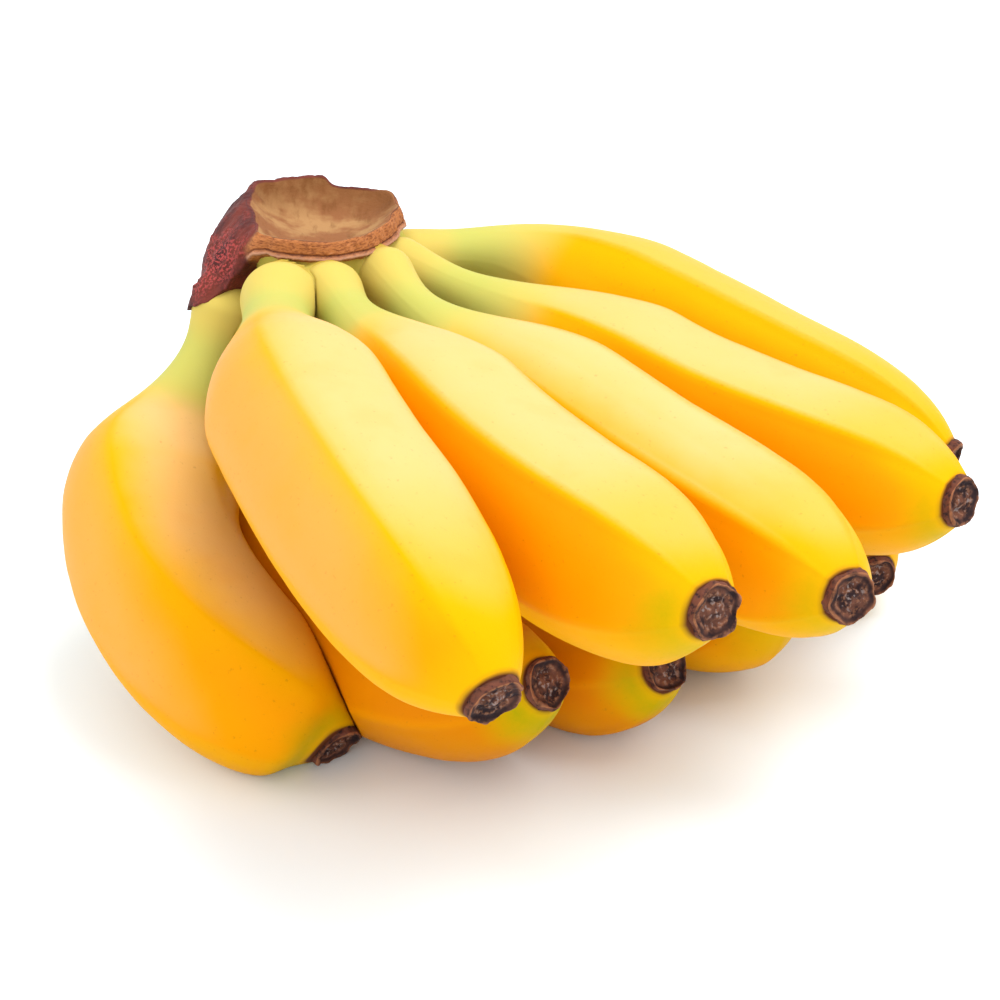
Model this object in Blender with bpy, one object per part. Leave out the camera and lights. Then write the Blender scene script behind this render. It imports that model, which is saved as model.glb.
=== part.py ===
"""A hand of ten baby bananas lying on a table, joined at one crown.

World frame: metres, +Z up, the table is z = 0. The origin is on the table, under the middle of the hand.
The crown is at the back left, and the fingers fan out from it toward -Y and +X.
Driving dimensions are in millimetres and degrees; they are turned into metres when a mesh is made.
"""
import math
from dataclasses import dataclass

import bmesh
import bpy
import numpy as np

MM = 0.001

# ---- the fingers, in general ----
FINGER_LENGTH = 118.0      # mean length along the curve, crown to blossom end
FINGER_GIRTH = 32.0        # mean widest diameter
STALK_SHARE = 0.30         # stalk diameter over the widest diameter
STALK_FLARE = 0.06         # how much the stalk swells again where it meets the crown
STALK_END = 0.12           # share of the length where the stalk begins to swell into the body
BODY_START = 0.45          # share of the length where the body is full
TAPER_START = 0.60         # share of the length where it begins to narrow toward the blossom end
TAPER_POWER = 4.5          # 1 is a cone; more keeps the body full for longer
TIP_SHARE = 0.27           # blossom end diameter over the widest diameter
RIDGE_COUNT = 5            # blunt lengthwise ridges
RIDGE_BLEND = 0.24         # 0 is round, 1 is a flat-sided pentagon
BEND_SHARE = 0.38          # share of the length over which the stalk heading turns into the body heading

# ---- the crown ----
CROWN_AXIS = (-33.0, 49.5)  # its middle in plan
CROWN_WIDTH = 28.0         # across, along X
CROWN_DEPTH = 36.0         # across, along Y
CROWN_HEIGHT = 23.5        # cut face down to the underside
RIM_HEIGHT = 69.6          # cut face above the table, at the middle
RIM_TILT_X = -0.08         # the cut face falls toward +X
RIM_TILT_Y = -0.15         # and toward +Y
DISH_DEPTH = 4.6           # hollow of the dried cut face
HOOD_ANGLE = -166.0        # direction of the thick skin end that hangs down over the first stalk
HOOD_SPREAD = 46.0         # its half width, in degrees around the crown
HOOD_REACH = 7.5           # how far it stands out

# ---- fits ----
FINGER_GAP = 0.6           # clear space between two fingers pressed together
CROWN_GAP = 0.5            # clear space between the crown and a stalk set into it
ROOT_DEPTH = 4.0           # how far a stalk is set into the crown
FACET_SLACK = 0.15         # how far the flat of a facet may reach into a clear space
TABLE_PRESS = 1.0          # height pressed flat where a finger lies on the table

# ---- mesh density ----
FINGER_SIDES = 20
CROWN_SIDES = 44
SPINE_SAMPLES = 97


@dataclass(frozen=True)
class Finger:
    """One banana: where it leaves the crown, its headings and its own size.

    root is in shares of the crown's half width and half depth, and mm below the cut face plane.
    turn and pitch are headings in degrees at the stalk, at the neck and at the blossom end; turn is
    measured from +X toward +Y and pitch is above the horizontal.
    """

    name: str
    root: tuple
    turn: tuple
    pitch: tuple
    length: float
    girth: float
    roll: float
    rests: bool = False


FINGERS = (
    Finger("upper_finger_1", (-1.26, -0.69, 15.0), (-136, -102, 1), (-68, -22, -34), 0.95, 1.01, 43, True),
    Finger("upper_finger_2", (-0.46, -1.32, 8.9), (-92, -77.5, -52), (3, 5, -24), 1.13, 1.03, 41),
    Finger("upper_finger_3", (0.15, -1.14, 8.6), (-73, -61, -47), (5, -9, 8), 1.10, 1.04, 45),
    Finger("upper_finger_4", (0.82, -0.59, 7.8), (-66, -39, -56), (-5, -16, 8), 1.08, 0.98, 58),
    Finger("upper_finger_5", (0.99, -0.04, 9.0), (-27, -32, -36), (-10, -16, 9), 1.05, 0.95, 47),
    Finger("upper_finger_6", (1.08, 0.54, 11.3), (35, -34, -24), (-5, -12, -15), 1.01, 0.87, 32),
    Finger("lower_finger_1", (-0.90, -0.71, 19.9), (-108, -59, -40), (-78, -8, 28), 1.02, 0.94, 45, True),
    Finger("lower_finger_2", (-0.11, -0.90, 19.2), (-38, -45, -45), (-53, -43, 29), 0.93, 0.92, 30, True),
    Finger("lower_finger_3", (0.54, -0.54, 18.7), (5, -31, -57), (-37, -37, 34), 0.94, 0.94, 60, True),
    Finger("lower_finger_4", (0.88, 0.08, 18.7), (17, 1, -67), (-54, -9, -10), 0.99, 0.95, 50, True),
)


def smooth(x):
    """Rises from 0 to 1 with level ends."""
    x = np.clip(x, 0.0, 1.0)
    return x * x * (3.0 - 2.0 * x)


def rim_plane(x, y):
    """Height of the cut face plane above the table."""
    return RIM_HEIGHT + RIM_TILT_X * (x - CROWN_AXIS[0]) + RIM_TILT_Y * (y - CROWN_AXIS[1])


def body_share(t):
    """Radius along a finger as a share of its widest radius, at share t of its length."""
    swell = STALK_SHARE + (1.0 - STALK_SHARE) * smooth((t - STALK_END) / (BODY_START - STALK_END))
    flare = STALK_FLARE * (1.0 - smooth(t / STALK_END))
    past = np.clip((t - TAPER_START) / (1.0 - TAPER_START), 0.0, 1.0)
    return (swell + flare) * (1.0 - (1.0 - TIP_SHARE) * past ** TAPER_POWER)


class Grown:
    """The curve, radii and frames of one finger, worked out from its headings."""

    def __init__(self, finger):
        self.finger = finger
        self.length = FINGER_LENGTH * finger.length
        self.radius = 0.5 * FINGER_GIRTH * finger.girth
        x = CROWN_AXIS[0] + 0.5 * CROWN_WIDTH * finger.root[0]
        y = CROWN_AXIS[1] + 0.5 * CROWN_DEPTH * finger.root[1]
        self.t = np.linspace(0.0, 1.0, SPINE_SAMPLES)
        heading = self.frame(self.t)[0]
        self.start = np.array([x, y, rim_plane(x, y) - finger.root[2]]) - ROOT_DEPTH * heading[0]
        step = 0.5 * (heading[1:] + heading[:-1]) * self.length / (SPINE_SAMPLES - 1)
        self.spine = self.start + np.vstack([np.zeros(3), np.cumsum(step, axis=0)])
        if finger.rests:
            self.settle()

    def frame(self, t):
        """Heading, sideways and upward unit vectors at the given shares of the length."""
        neck = 1.0 - smooth(t / BEND_SHARE)
        body = np.clip((t - BEND_SHARE) / (1.0 - BEND_SHARE), 0.0, 1.0)
        angles = []
        for start, middle, end in (self.finger.turn, self.finger.pitch):
            angles.append(np.radians(middle + (start - middle) * neck + (end - middle) * body))
        turn, pitch = angles
        flat = np.zeros_like(turn)
        ahead = np.stack([np.cos(pitch) * np.cos(turn), np.cos(pitch) * np.sin(turn), np.sin(pitch)], -1)
        side = np.stack([-np.sin(turn), np.cos(turn), flat], -1)
        up = np.stack([-np.sin(pitch) * np.cos(turn), -np.sin(pitch) * np.sin(turn), np.cos(pitch)], -1)
        return ahead, side, up

    def radii(self, t):
        """Round radius at the given shares of the length; the crown end is a ball."""
        radius = self.radius * body_share(t)
        along = np.clip(t * self.length / radius, 0.0, 1.0)
        return radius * np.sqrt(1.0 - (1.0 - along) ** 2)

    def settle(self):
        """Bend the body down or up so that its belly just presses on the table."""
        t = np.linspace(0.15, 0.95, 41)
        angle = 2.0 * math.pi * np.arange(40) / 40
        for _ in range(6):
            low = self.surface(t, angle)[1][:, :, 2].min(axis=1)
            k = int(np.argmin(low))
            lift = -TABLE_PRESS - low[k]
            self.spine[:, 2] += lift * smooth(self.t / 0.5) / max(float(smooth(t[k] / 0.5)), 0.2)

    def surface(self, t, angle):
        """Centres of the rings at shares t, and the ridged skin points around each of them."""
        centre = self.at(t)
        _, side, up = self.frame(t)
        reach = self.radii(t)[:, None] * ridge_share(angle)[None, :]
        turned = angle + math.radians(self.finger.roll)
        out = np.cos(turned)[None, :, None] * side[:, None, :] + np.sin(turned)[None, :, None] * up[:, None, :]
        return centre, centre[:, None, :] + reach[:, :, None] * out

    def at(self, t):
        """Points of the curve at the given shares of the length."""
        return np.stack([np.interp(t, self.t, self.spine[:, axis]) for axis in range(3)], -1)

    def distance(self, points):
        """Signed distance from points to the round body, negative inside."""
        radii = self.radii(self.t)
        gaps = np.linalg.norm(points[:, None, :] - self.spine[None, :, :], axis=2) - radii[None, :]
        return gaps.min(axis=1)


def ridge_share(angle):
    """Radius around a finger, 1 on each ridge and less between them."""
    sector = 2.0 * math.pi / RIDGE_COUNT
    off_face = np.mod(angle, sector) - 0.5 * sector
    spread = 1.0 / ((1.0 - RIDGE_BLEND) + RIDGE_BLEND * np.cos(off_face))
    crest = 1.0 / ((1.0 - RIDGE_BLEND) + RIDGE_BLEND * math.cos(0.5 * sector))
    return spread / crest


def pull_in(points, anchors, quads, excess):
    """Move points toward their anchors until excess is not above zero, at them or on the quads between."""
    inner = np.zeros(len(points))
    outer = np.ones(len(points))
    outside = excess(points) > 0.0
    for _ in range(14):
        middle = 0.5 * (inner + outer)
        bad = excess(anchors + middle[:, None] * (points - anchors)) > 0.0
        outer = np.where(bad, middle, outer)
        inner = np.where(bad, inner, middle)
    share = np.where(outside, inner, 1.0)
    pairs = np.vstack([quads[:, [0, 1]], quads[:, [0, 3]], quads[:, [0, 2]], quads[:, [1, 3]]])
    for _ in range(30):
        moved = anchors + share[:, None] * (points - anchors)
        crossing = pairs[excess(moved[pairs].mean(axis=1)) > FACET_SLACK]
        if len(crossing) == 0:
            break
        share[np.unique(crossing)] *= 0.97
    return anchors + share[:, None] * (points - anchors)


def quad_rows(rings, sides):
    """Vertex numbers of the quads between neighbouring rings."""
    ring, k = np.meshgrid(np.arange(rings - 1), np.arange(sides), indexing="ij")
    a = ring * sides + k
    b = ring * sides + (k + 1) % sides
    return np.stack([a, b, b + sides, a + sides], -1).reshape(-1, 4)


def tube_faces(rings, sides):
    """Quads between rings and a fan at each end; the two poles come after the rings."""
    faces = quad_rows(rings, sides).tolist()
    first = rings * sides
    last = first + 1
    end = (rings - 1) * sides
    for k in range(sides):
        faces.append((first, (k + 1) % sides, k))
        faces.append((last, end + k, end + (k + 1) % sides))
    return faces


def finger_mesh(grown, others):
    """Vertices and faces of one finger, flattened against its neighbours and the table."""
    root = np.array([0.010, 0.025, 0.045])
    body = np.linspace(0.08, 0.92, 19)
    tip = np.array([0.945, 0.965, 0.985, 1.0])
    t = np.concatenate([root, body, tip])
    angle = 2.0 * math.pi * np.arange(FINGER_SIDES) / FINGER_SIDES
    centre, points = grown.surface(t, angle)
    points = points.reshape(-1, 3)
    anchors = np.repeat(centre, FINGER_SIDES, axis=0)

    def excess(p):
        near = np.min([other.distance(p) for other in others], axis=0)
        return grown.distance(p) - near + FINGER_GAP

    points = pull_in(points, anchors, quad_rows(len(t), FINGER_SIDES), excess)
    root_pole = grown.at(np.array([0.002]))
    tip_pole = centre[-1:] + 0.8 * grown.frame(t[-1:])[0]
    points = np.vstack([points, root_pole, tip_pole])
    points[:, 2] = np.maximum(points[:, 2], 0.0)
    return points, tube_faces(len(t), FINGER_SIDES)


def crown_mesh(fingers):
    """Vertices and faces of the crown: a hollowed cut face, a rim, a flank and a skin end.

    Rings run from the cut face, over the rim and down the flank to the underside. Every vertex is
    pulled back toward the crown's upright axis where it would come too close to a stalk.
    """
    share = np.array([0.30, 0.60, 0.84, 0.94, 1.00, 1.06, 1.09, 1.10, 1.09, 1.07, 1.02, 0.93, 0.79, 0.58, 0.30])
    drop = np.array([0.95, 0.70, 0.28, 0.03])
    below = np.array([0.02, 0.06, 0.11, 0.15, 0.24, 0.34, 0.46, 0.60, 0.74, 0.88, 0.97]) * CROWN_HEIGHT
    drop = np.concatenate([drop * DISH_DEPTH, below])
    angle = -2.0 * math.pi * np.arange(CROWN_SIDES) / CROWN_SIDES
    off = np.degrees(np.abs(np.angle(np.exp(1j * (angle - math.radians(HOOD_ANGLE))))))
    hood = smooth(1.0 - off / (1.6 * HOOD_SPREAD))
    hang = smooth(drop / (0.60 * CROWN_HEIGHT)) * smooth((CROWN_HEIGHT - drop) / (0.35 * CROWN_HEIGHT))
    stand_out = HOOD_REACH * hood[None, :] * hang[:, None]
    out = np.stack([np.cos(angle), np.sin(angle)], -1)
    half = np.array([0.5 * CROWN_WIDTH, 0.5 * CROWN_DEPTH])
    plan = share[:, None, None] * (out * half)[None] + stand_out[:, :, None] * out[None]
    x = CROWN_AXIS[0] + plan[:, :, 0]
    y = CROWN_AXIS[1] + plan[:, :, 1]
    z = rim_plane(x, y) - drop[:, None]
    points = np.stack([x, y, z], -1).reshape(-1, 3)
    anchors = points.copy()
    anchors[:, 0] = CROWN_AXIS[0]
    anchors[:, 1] = CROWN_AXIS[1]

    def excess(p):
        return CROWN_GAP - np.min([finger.distance(p) for finger in fingers], axis=0)

    points = pull_in(points, anchors, quad_rows(len(share), CROWN_SIDES), excess)
    top = [CROWN_AXIS[0], CROWN_AXIS[1], RIM_HEIGHT - DISH_DEPTH]
    bottom = [CROWN_AXIS[0], CROWN_AXIS[1], RIM_HEIGHT - CROWN_HEIGHT]
    points = np.vstack([points, [top], [bottom]])
    return points, tube_faces(len(share), CROWN_SIDES)


def make_material(name, colour, roughness):
    """A Principled BSDF with one colour."""
    material = bpy.data.materials.new(name)
    material.use_nodes = True
    shader = material.node_tree.nodes["Principled BSDF"]
    shader.inputs["Base Color"].default_value = (*colour, 1.0)
    shader.inputs["Roughness"].default_value = roughness
    return material


def make_object(name, points, faces, origin, material, parent):
    """A smooth mesh object whose own origin is where it grows from."""
    bm = bmesh.new()
    verts = [bm.verts.new(point) for point in (points - origin) * MM]
    for face in faces:
        bm.faces.new([verts[k] for k in face])
    mesh = bpy.data.meshes.new(name)
    bm.to_mesh(mesh)
    bm.free()
    mesh.shade_smooth()
    mesh.materials.append(material)
    thing = bpy.data.objects.new(name, mesh)
    thing.location = origin * MM
    thing.parent = parent
    bpy.context.scene.collection.objects.link(thing)
    return thing


def main():
    """Build the crown and the ten fingers, with the plan origin under the middle of the hand."""
    for thing in list(bpy.data.objects):
        bpy.data.objects.remove(thing, do_unlink=True)
    hand = bpy.data.objects.new("hand", None)
    bpy.context.scene.collection.objects.link(hand)
    grown = [Grown(finger) for finger in FINGERS]
    pieces = []
    for one in grown:
        others = [other for other in grown if other is not one]
        points, faces = finger_mesh(one, others)
        peel = make_material(one.finger.name + "_peel", (1.0, 0.60, 0.03), 0.45)
        pieces.append((one.finger.name, points, faces, one.start, peel))
    points, faces = crown_mesh(grown)
    skin = make_material("crown_skin", (0.37, 0.14, 0.05), 0.8)
    pieces.append(("crown", points, faces, np.array([*CROWN_AXIS, RIM_HEIGHT]), skin))
    everything = np.vstack([piece[1] for piece in pieces])
    middle = 0.5 * (everything.min(axis=0) + everything.max(axis=0))
    middle[2] = 0.0
    for name, points, faces, origin, material in pieces:
        make_object(name, points - middle, faces, origin - middle, material, hand)


main()
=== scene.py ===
"""The looks of a hand of ten ripe baby bananas: peel, blossom ends, crown, table, light and camera.

Sizes are in millimetres and degrees. A finger is grown from its headings, so its skin is a function of
the share of its length and the angle around it. The crown is a profile carried around an upright axis.
"""

import logging
import math
from dataclasses import dataclass
from enum import Enum

import bpy
import numpy as np
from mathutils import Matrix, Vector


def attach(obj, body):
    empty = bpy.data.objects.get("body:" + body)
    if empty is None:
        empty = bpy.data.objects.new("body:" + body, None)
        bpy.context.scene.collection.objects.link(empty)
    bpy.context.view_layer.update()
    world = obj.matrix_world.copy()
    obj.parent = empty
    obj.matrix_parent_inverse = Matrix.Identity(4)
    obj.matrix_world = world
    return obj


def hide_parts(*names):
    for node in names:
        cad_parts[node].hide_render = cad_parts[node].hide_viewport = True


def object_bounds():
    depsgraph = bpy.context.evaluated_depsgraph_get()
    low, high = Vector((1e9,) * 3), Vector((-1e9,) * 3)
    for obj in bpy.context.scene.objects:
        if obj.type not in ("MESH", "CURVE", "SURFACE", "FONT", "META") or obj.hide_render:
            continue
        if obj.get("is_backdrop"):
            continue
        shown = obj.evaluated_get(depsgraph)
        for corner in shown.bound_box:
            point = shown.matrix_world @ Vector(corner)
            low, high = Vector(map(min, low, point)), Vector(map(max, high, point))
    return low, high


MM = 0.001
LIGHT = 2.0  # how strongly the top of the hand is lit, with 1 for a white card that just shows white
# the painted highlight and the painted shade of the peel follow this way
SUN = np.array([0.34, 0.10, 0.93]) / math.hypot(0.34, 0.10, 0.93)  # where the brightest side of the peel faces
LOG = logging.getLogger("bananas")
Array = np.ndarray
Material = bpy.types.Material
Piece = bpy.types.Object
Colour = tuple[float, float, float]


# ---- shared maths ----


def smooth(x: Array) -> Array:
    """Rise from 0 to 1 with level ends: 3 x squared minus 2 x cubed, held at both ends."""
    x = np.clip(x, 0.0, 1.0)
    return x * x * (3.0 - 2.0 * x)


def rise(x: Array, start: float | Array, width: float) -> Array:
    """0 up to start and 1 from start plus width on, eased between."""
    return smooth((x - start) / width)


def bell(x: Array, middle: float, width: float) -> Array:
    """1 at the middle, falling off on both sides: e to minus the square of the distance over the width."""
    return np.exp(-(((x - middle) / width) ** 2))


def srgb(red: int, green: int, blue: int) -> Colour:
    """Scene-linear colour of a display colour given in 0 to 255."""
    steps = np.array([red, green, blue]) / 255.0
    linear = np.where(steps <= 0.04045, steps / 12.92, ((steps + 0.055) / 1.055) ** 2.4)
    return tuple(float(value) for value in linear)


def shown(red: int, green: int, blue: int) -> Colour:
    """Surface colour that shows as the given display colour under the studio's light."""
    return tuple(value / LIGHT for value in srgb(red, green, blue))


def lattice(cell: Array, seed: int) -> Array:
    """A fixed random number from -1 to 1 for every whole-numbered cell (a mixed integer hash)."""
    cell = cell.astype(np.int64)
    mixed = cell[..., 0] * 73856093 ^ cell[..., 1] * 19349663 ^ cell[..., 2] * 83492791 ^ seed * 2654435
    mixed = (mixed ^ (mixed >> 13)) * 1274126177 & 0x7FFFFFFF
    mixed = (mixed ^ (mixed >> 16)) & 0xFFFF
    return mixed / 32767.5 - 1.0


def noise(points: Array, size: float, seed: int = 0, octaves: int = 1) -> Array:
    """Smooth random relief from -1 to 1.

    Each octave blends the random numbers of the eight cell corners around a point with eased weights;
    the next octave has half the size and half the height.

    Args:
        points: places, with three coordinates in the last axis.
        size: width of one cell of the first octave, in the points' unit.
        seed: picks another pattern.
        octaves: how many sizes are added.

    Returns:
        One number for each place.
    """
    total = np.zeros(points.shape[:-1])
    height = 1.0
    for octave in range(octaves):
        place = points / (size * 0.5**octave)
        cell = np.floor(place)
        share = smooth(place - cell)
        value = np.zeros_like(total)
        for corner in np.ndindex(2, 2, 2):
            step = np.array(corner)
            weight = np.prod(np.where(step, share, 1.0 - share), axis=-1)
            value += weight * lattice(cell + step, seed + 31 * octave)
        total += height * value
        height *= 0.5
    return total


def spline(controls: Array, samples: int) -> Array:
    """A smooth curve led by control values along the first axis.

    It is a uniform cubic B-spline whose end controls are tripled, so that it starts and ends on them.

    Args:
        controls: control values; further axes are carried along.
        samples: how many values to read from the curve, evenly.

    Returns:
        The values, with samples as the first axis.
    """
    padded = np.concatenate([controls[:1], controls[:1], controls, controls[-1:], controls[-1:]])
    spans = len(padded) - 3
    at = np.linspace(0.0, spans, samples) * (1.0 - 1e-9)
    first = at.astype(int)
    u = at - first
    weights = np.stack(
        [(1 - u) ** 3, 3 * u**3 - 6 * u**2 + 4, -3 * u**3 + 3 * u**2 + 3 * u + 1, u**3]
    ) / 6.0
    shape = (samples,) + (1,) * (controls.ndim - 1)
    return sum(weights[k].reshape(shape) * padded[first + k] for k in range(4))


def grid_normals(points: Array) -> Array:
    """Outward unit normals of rings by sides by three, where each ring closes on itself.

    They are the cross product of the steps around the ring and the steps along the rings.
    """
    ring = np.roll(points, -1, axis=1) - np.roll(points, 1, axis=1)
    along = np.gradient(points, axis=0)
    normal = np.cross(ring, along)
    return normal / np.maximum(np.linalg.norm(normal, axis=-1, keepdims=True), 1e-9)


def tube_mesh(name: str, points: Array, values: dict[str, Array]) -> Piece:
    """A closed, smoothly shaded mesh from rings of points, with a fan over the mean of each end ring.

    Args:
        name: the piece's name.
        points: rings by sides by three, in millimetres, counter-clockwise about the way they advance.
        values: numbers for every grid point, kept as attributes for the materials.

    Returns:
        The object, at the origin.
    """
    rings, sides = points.shape[:2]
    ends = np.stack([points[0].mean(axis=0), points[-1].mean(axis=0)])
    verts = np.vstack([points.reshape(-1, 3), ends]) * MM
    ring, k = np.meshgrid(np.arange(rings - 1), np.arange(sides), indexing="ij")
    a = (ring * sides + k).ravel()
    b = (ring * sides + (k + 1) % sides).ravel()
    quads = np.stack([a, b, b + sides, a + sides], axis=-1)
    side = np.arange(sides)
    turn = (side + 1) % sides
    first = np.full(sides, rings * sides)
    start = np.stack([first, turn, side], axis=-1)
    end = np.stack([first + 1, (rings - 1) * sides + side, (rings - 1) * sides + turn], axis=-1)
    fans = np.vstack([start, end])
    corners = np.concatenate([quads.ravel(), fans.ravel()]).astype(np.int32)
    counts = np.concatenate([np.full(len(quads), 4), np.full(len(fans), 3)])
    starts = np.concatenate([[0], np.cumsum(counts)[:-1]]).astype(np.int32)
    mesh = bpy.data.meshes.new(name)
    mesh.vertices.add(len(verts))
    mesh.vertices.foreach_set("co", verts.astype(np.float32).ravel())
    mesh.loops.add(len(corners))
    mesh.loops.foreach_set("vertex_index", corners)
    mesh.polygons.add(len(counts))
    mesh.polygons.foreach_set("loop_start", starts)
    mesh.polygons.foreach_set("use_smooth", np.ones(len(counts), dtype=bool))
    mesh.update(calc_edges=True)
    for label, value in values.items():
        full = np.concatenate([value.reshape(-1), [value[0].mean(), value[-1].mean()]])
        mesh.attributes.new(label, "FLOAT", "POINT").data.foreach_set("value", full.astype(np.float32))
    mesh.validate()
    piece = bpy.data.objects.new(name, mesh)
    bpy.context.scene.collection.objects.link(piece)
    return piece


# ---- shader writing ----


class Wire:
    """A number on its way through a shader; arithmetic on it adds Math nodes."""

    def __init__(self, graph: "Graph", socket: bpy.types.NodeSocket) -> None:
        """Keep the graph it belongs to and the socket it comes from."""
        self.graph = graph
        self.socket = socket

    def _math(self, operation: str, first: object, second: object) -> "Wire":
        """A Math node over two numbers or wires."""
        return self.graph.node("Math", {"operation": operation}, {0: first, 1: second})

    def __add__(self, other: object) -> "Wire":
        """This plus the other."""
        return self._math("ADD", self, other)

    __radd__ = __add__

    def __mul__(self, other: object) -> "Wire":
        """This times the other."""
        return self._math("MULTIPLY", self, other)

    __rmul__ = __mul__

    def __sub__(self, other: object) -> "Wire":
        """This minus the other."""
        return self._math("SUBTRACT", self, other)

    def __rsub__(self, other: object) -> "Wire":
        """The other minus this."""
        return self._math("SUBTRACT", other, self)

    def ramp(self, low: float, high: float) -> "Wire":
        """0 at low and 1 at high, eased and held outside."""
        settings = {"interpolation_type": "SMOOTHSTEP", "clamp": True}
        return self.graph.node("MapRange", settings, {0: self, 1: low, 2: high, 3: 0.0, 4: 1.0})


class Graph:
    """One material's nodes, ending in a Principled BSDF."""

    def __init__(self, name: str) -> None:
        """Start a material with only its shader and its output."""
        self.material = bpy.data.materials.new(name)
        self.material.use_nodes = True
        self.tree = self.material.node_tree
        self.shader = self.tree.nodes["Principled BSDF"]

    def node(self, kind: str, settings: dict, sockets: dict, output: int | str = 0) -> Wire:
        """Make any node.

        Args:
            kind: the node's type, without ShaderNode or ShaderNodeTex where Blender has them.
            settings: properties set first.
            sockets: input names or numbers with values, colours or wires.
            output: which output the wire comes from.

        Returns:
            The wire from that output.
        """
        made = self.tree.nodes.new("ShaderNode" + kind)
        for key, value in settings.items():
            setattr(made, key, value)
        for key, value in sockets.items():
            self.feed(made.inputs[key], value)
        return Wire(self, made.outputs[output])

    def feed(self, socket: bpy.types.NodeSocket, value: object) -> None:
        """Link a wire to a socket, or set a plain number, vector or colour on it."""
        if isinstance(value, Wire):
            self.tree.links.new(value.socket, socket)
        elif isinstance(value, tuple) and len(value) == 3 and socket.type == "RGBA":
            socket.default_value = (*value, 1.0)
        else:
            socket.default_value = value

    def value(self, label: str) -> Wire:
        """A number kept on the mesh."""
        return self.node("Attribute", {"attribute_name": label}, {}, "Fac")

    def place(self, stretch: tuple[float, float, float] = (1.0, 1.0, 1.0)) -> Wire:
        """The place on the object in metres, stretched for grainy patterns."""
        here = self.node("TexCoord", {}, {}, "Object")
        return self.node("Mapping", {}, {"Vector": here, "Scale": stretch})

    def grain(self, size: float, detail: float = 2.0, rough: float = 0.5, where: Wire | None = None) -> Wire:
        """Noise from 0 to 1 whose features are about size millimetres wide."""
        sockets = {"Vector": where or self.place(), "Scale": 1.0 / (size * MM), "Detail": detail, "Roughness": rough}
        return self.node("TexNoise", {}, sockets, "Fac")

    def mix(self, first: object, second: object, share: object) -> Wire:
        """A colour between two colours, by a share from 0 to 1."""
        settings = {"data_type": "RGBA", "blend_type": "MIX", "clamp_factor": True}
        return self.node("Mix", settings, {0: share, 6: first, 7: second}, 2)

    def coats(self, base: object, *layers: tuple[object, object]) -> Wire:
        """Colours laid over a base in order, each with its own share from 0 to 1."""
        for colour, share in layers:
            base = self.mix(base, colour, share)
        return base

    def constants(self, **values: object) -> None:
        """Set plain values on the shader's inputs, whose names have a _ for each space."""
        for label, value in values.items():
            self.shader.inputs[label.replace("_", " ")].default_value = value

    def finish(self, colour: Wire, roughness: object, relief: Wire | None, depth: float) -> Material:
        """Connect the colour, the roughness and the relief.

        Args:
            colour: the base colour.
            roughness: a wire or a number.
            relief: a height from 0 to 1, or nothing.
            depth: how deep the relief is, in millimetres.

        Returns:
            The finished material.
        """
        self.feed(self.shader.inputs["Base Color"], colour)
        self.feed(self.shader.inputs["Roughness"], roughness)
        if relief is not None:
            sockets = {"Height": relief, "Distance": depth * MM, "Strength": 1.0}
            self.feed(self.shader.inputs["Normal"], self.node("Bump", {}, sockets, "Normal"))
        return self.material


# ---- finishes ----


@dataclass(frozen=True)
class PeelFinish:
    """Ripe peel: deep yellow, green at the stalk and before the blossom end, with painted light: a pale painted
    highlight on the sides that face the light, orange painted shade on the flanks that face away and on the lower
    front fingers, and peach painted shade on the left sides of the front fingers.
    """

    body: Colour = shown(300, 217, 0)
    # painted highlight: the paler yellow of the sides that face the light
    painted_highlight: Colour = shown(296, 243, 172)
    # painted shade: orange of the facets that face away from the light
    flank: Colour = shown(304, 190, 0)
    # painted shade: deeper amber of the lower front fingers, which lie under the upper row
    amber: Colour = shown(262, 148, 0)
    # painted shade: peach of the left-facing sides of the front fingers
    blush: Colour = shown(296, 206, 98)
    crest: Colour = shown(296, 196, 0)
    stalk: Colour = shown(238, 238, 122)
    root: Colour = shown(264, 236, 120)
    green: Colour = shown(206, 200, 0)
    singed: Colour = shown(120, 66, 40)

    def make(self) -> Material:
        """Mix the zones by the mesh's own numbers, then add mottling, freckles and pores."""
        graph = Graph("peel")
        mottle = graph.grain(11.0, 3.0, 0.55)
        speck = graph.grain(0.9, 2.0, 0.6)
        pore = graph.grain(0.35, 1.0, 0.5)
        freckle = speck.ramp(0.64, 0.78) * 0.20
        colour = graph.coats(
            self.body,
            # painted highlight on the sides that face the light
            (self.painted_highlight, graph.value("lit") * (0.80 + mottle * 0.25)),
            # painted shade on the flanks that face away from the light
            (self.flank, graph.value("flank")),
            # painted shade on the lower front fingers
            (self.amber, graph.value("low")),
            # painted shade on the left sides of the front fingers
            (self.blush, graph.value("blush") * (0.55 + mottle * 0.6)),
            (self.crest, graph.value("crest") * (0.35 + speck * 0.5)),
            (self.crest, mottle.ramp(0.50, 0.75) * 0.16),
            (self.root, graph.value("root")),
            (self.stalk, graph.value("stalk") * (0.50 + mottle * 0.75)),
            (self.green, graph.value("tip") * (0.55 + mottle * 0.75) * (0.78 + speck * 0.35)),
            (self.singed, freckle * graph.value("freckle")),
            (self.singed, graph.value("singe")),
        )
        relief = pore * 0.35 + speck * 0.35 + mottle * 0.3
        graph.constants(Specular_IOR_Level=0.03, Subsurface_Weight=0.06)
        graph.constants(Subsurface_Radius=(1.0, 0.45, 0.08), Subsurface_Scale=3.0 * MM)
        return graph.finish(colour, 0.40 + speck * 0.12, relief, 0.035)


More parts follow.
